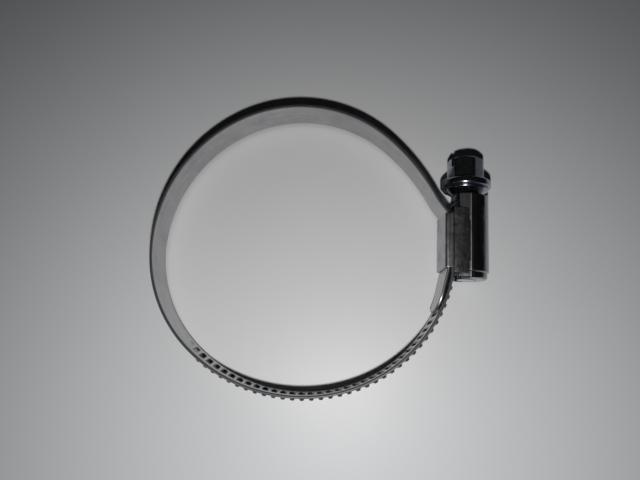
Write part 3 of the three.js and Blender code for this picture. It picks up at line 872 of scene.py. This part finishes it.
def band_material():
    """Rolled strip: lengthwise grain, streaks and bluish smudges, with a rough, darker sheared edge."""
    s = Shader("band_steel")
    grain = s.noise(1.0, 4, 0.6, (0.25, 16, 16))
    streak = s.noise(1.0, 3, 0.5, (0.05, 2.2, 2.2))
    smudge = s.noise(0.22, 4, 0.6)
    colour = s.mix(s.ramp(smudge, 0, 1), BAND_BLUISH, BAND_BRIGHT)
    colour = s.mix(s.ramp(streak, 0, 0.45), colour, BAND_STREAK)
    lay = s.add("ShaderNodeAttribute", attribute_name="lay")
    split = s.add("ShaderNodeSeparateXYZ", {"Vector": lay.outputs["Vector"]})
    from_middle = s.math("ABSOLUTE", s.math("SUBTRACT", split.outputs["Y"], MID_Z), 0.0)
    deep, shallow = BAND_EDGE_DEPTH
    edge = s.ramp(from_middle, 0, 1, MID_Z - deep, MID_Z - shallow)
    edge = s.math("MULTIPLY", edge, s.ramp(split.outputs["Z"], 1, 0, *BAND_EDGE_OUT))
    colour = s.mix(edge, colour, BAND_EDGE)
    roughness = s.math("ADD", s.ramp(smudge, 0.26, 0.4), s.ramp(grain, -0.06, 0.08))
    roughness = s.math("ADD", roughness, s.math("MULTIPLY", edge, 0.4))
    normal = s.bump(grain, 0.02 * MM, 0.5)
    return s.finish(Base_Color=colour, Metallic=1.0, Roughness=roughness, Normal=normal)


def housing_material():
    """Pressed sheet: glossy where it was rolled, rough and darker on the flanks, with a painted highlight
    along the seam.
    """
    s = Shader("housing_steel")
    lay = s.add("ShaderNodeAttribute", attribute_name="lay")
    split = s.add("ShaderNodeSeparateXYZ", {"Vector": lay.outputs["Vector"]})
    flank = s.math("MULTIPLY", s.ramp(split.outputs["Y"], 0, 1, FLANGE_EDGE_X, FLANGE_EDGE_X + 0.2),
                   s.ramp(split.outputs["Y"], 1, 0, SEAM_X + 0.02, SEAM_X + 0.12))
    pits = s.noise(3.2, 5, 0.7)
    fine = s.noise(9.0, 3, 0.6)
    smudge = s.noise(0.5, 3, 0.6)
    sheet = s.mix(s.ramp(smudge, 0, 1), SHEET_DARK, SHEET_BRIGHT)
    dark = s.math("MULTIPLY", flank, s.ramp(pits, 0.75, 1))
    colour = s.mix(dark, sheet, FLANK_DARK)
    streaks = s.noise(1.0, 3, 0.5, (0.08, 3.0, 3.0))
    roughness = s.math("ADD", s.ramp(streaks, 0.17, 0.26), s.math("MULTIPLY", flank, 0.3))
    roughness = s.math("ADD", roughness, s.ramp(split.outputs["Y"], 0.13, 0, FLANGE_EDGE_X, WING_START_X))
    # Painted highlight: the flank strip just inside the seam edge gets a brighter colour, standing in for
    # light caught on the edge.
    seam = s.math("MULTIPLY", s.ramp(split.outputs["Y"], 0, 1, SEAM_X - 0.2, SEAM_X - 0.05), flank)
    colour = s.mix(seam, colour, SEAM_PAINTED_HIGHLIGHT)
    worn = s.bump(pits, 0.03 * MM, 0.4)
    normal = s.bump(fine, 0.006 * MM, 0.3, worn)
    return s.finish(Base_Color=colour, Metallic=1.0, Roughness=roughness, Normal=normal)


def screw_material():
    """Bright bluish zinc plating, with fine turning marks and small stains."""
    s = Shader("screw_zinc")
    marks = s.noise(1.0, 3, 0.5, (0.4, 14, 14))
    stains = s.noise(0.9, 4, 0.65)
    colour = s.mix(s.ramp(stains, 0, 1, 0.35, 0.7), ZINC_DARK, ZINC_BRIGHT)
    roughness = s.math("ADD", s.ramp(stains, 0.24, 0.14), s.ramp(marks, -0.03, 0.04))
    normal = s.bump(marks, 0.01 * MM, 0.4)
    return s.finish(Base_Color=colour, Metallic=1.0, Roughness=roughness, Normal=normal)


def floor_material():
    """A pale table top, with faint marks and painted light falloff: a cooler, slightly darker tone away
    from the middle.
    """
    s = Shader("floor")
    coordinates = s.add("ShaderNodeTexCoord").outputs["Object"]
    mottle = s.add("ShaderNodeTexNoise", {"Vector": coordinates, "Scale": 30.0, "Detail": 4.0})
    distance = s.add("ShaderNodeVectorMath", {0: coordinates}, operation="LENGTH").outputs["Value"]
    # Painted light falloff: the floor turns cooler and slightly darker with distance from its middle.
    falloff_colour = s.mix(s.ramp(distance, 0, 1, FLOOR_FALLOFF_START, FLOOR_FALLOFF_END), FLOOR_MIDDLE, FLOOR_FAR_PAINTED_FALLOFF)
    mark = s.ramp(mottle.outputs["Fac"], 0.0, 0.12)
    colour = s.mix(mark, falloff_colour, FLOOR_MARK)
    return s.finish(Base_Color=colour, Roughness=0.45, Specular_IOR_Level=0.35)


# ---- Surroundings ---------------------------------------------------------------------------------

CAMERA_PLACE = (9.990, -19.039, 116.364)
CAMERA_FORWARD = (-0.05253, 0.18698, -0.98096)
CAMERA_UP = (-0.04139, 0.98106, 0.18921)
CAMERA_LENS = 29.25
KEY_PLACE = (11.0, -43.0, 117.0)
KEY_FORWARD = (-0.06, -0.1, -1.0)
KEY_SPREAD = 170.0
KEY_RADIUS = 0.003
KEY_POWER = 0.425
FLOOR_HALF = 0.6
ROOM_COLOUR = (0.5, 0.55, 0.62, 1)
ROOM_STRENGTH = 0.008
CAMERA_CLIP_START = 0.005


def look_along(thing, place, forward, up):
    """Puts a camera or lamp at a ring-centred place, looking along forward."""
    back = -Vector(forward).normalized()
    right = Vector(up).cross(back).normalized()
    turn = Matrix((right, back.cross(right), back)).transposed()
    thing.matrix_world = Matrix.Translation(Vector(to_frame(place))) @ turn.to_4x4()


def add_key_lamp():
    """A small round lamp that shines straight down and fades towards the edge of its beam."""
    lamp = bpy.data.lights.new("key", "SPOT")
    lamp.shadow_soft_size = KEY_RADIUS
    lamp.spot_size = math.radians(KEY_SPREAD)
    lamp.spot_blend = 1.0
    lamp.energy = KEY_POWER
    thing = bpy.data.objects.new("key", lamp)
    bpy.context.scene.collection.objects.link(thing)
    look_along(thing, KEY_PLACE, KEY_FORWARD, (0, 1, 0))


def build_surroundings():
    """Floor, lamp, dark room and the camera at the photograph's viewing angle."""
    mesh = bpy.data.meshes.new("floor")
    corners = [(x * FLOOR_HALF, y * FLOOR_HALF, 0) for x, y in ((-1, -1), (1, -1), (1, 1), (-1, 1))]
    mesh.from_pydata(corners, [], [(0, 1, 2, 3)])
    mesh.materials.append(floor_material())
    floor = bpy.data.objects.new("floor", mesh)
    bpy.context.scene.collection.objects.link(floor)
    add_key_lamp()
    bpy.context.scene.view_settings.view_transform = "Standard"
    world = bpy.data.worlds.new("room")
    bpy.context.scene.world = world
    world.use_nodes = True
    world.node_tree.nodes["Background"].inputs["Color"].default_value = ROOM_COLOUR
    world.node_tree.nodes["Background"].inputs["Strength"].default_value = ROOM_STRENGTH
    camera = bpy.data.objects.new("camera", bpy.data.cameras.new("camera"))
    camera.data.lens = CAMERA_LENS
    camera.data.clip_start = CAMERA_CLIP_START
    bpy.context.scene.collection.objects.link(camera)
    look_along(camera, CAMERA_PLACE, CAMERA_FORWARD, CAMERA_UP)
    bpy.context.scene.camera = camera


# ---- Whole scene ----------------------------------------------------------------------------------

build_band(band_material())
build_screw(screw_material())
build_housing(housing_material())
build_surroundings()
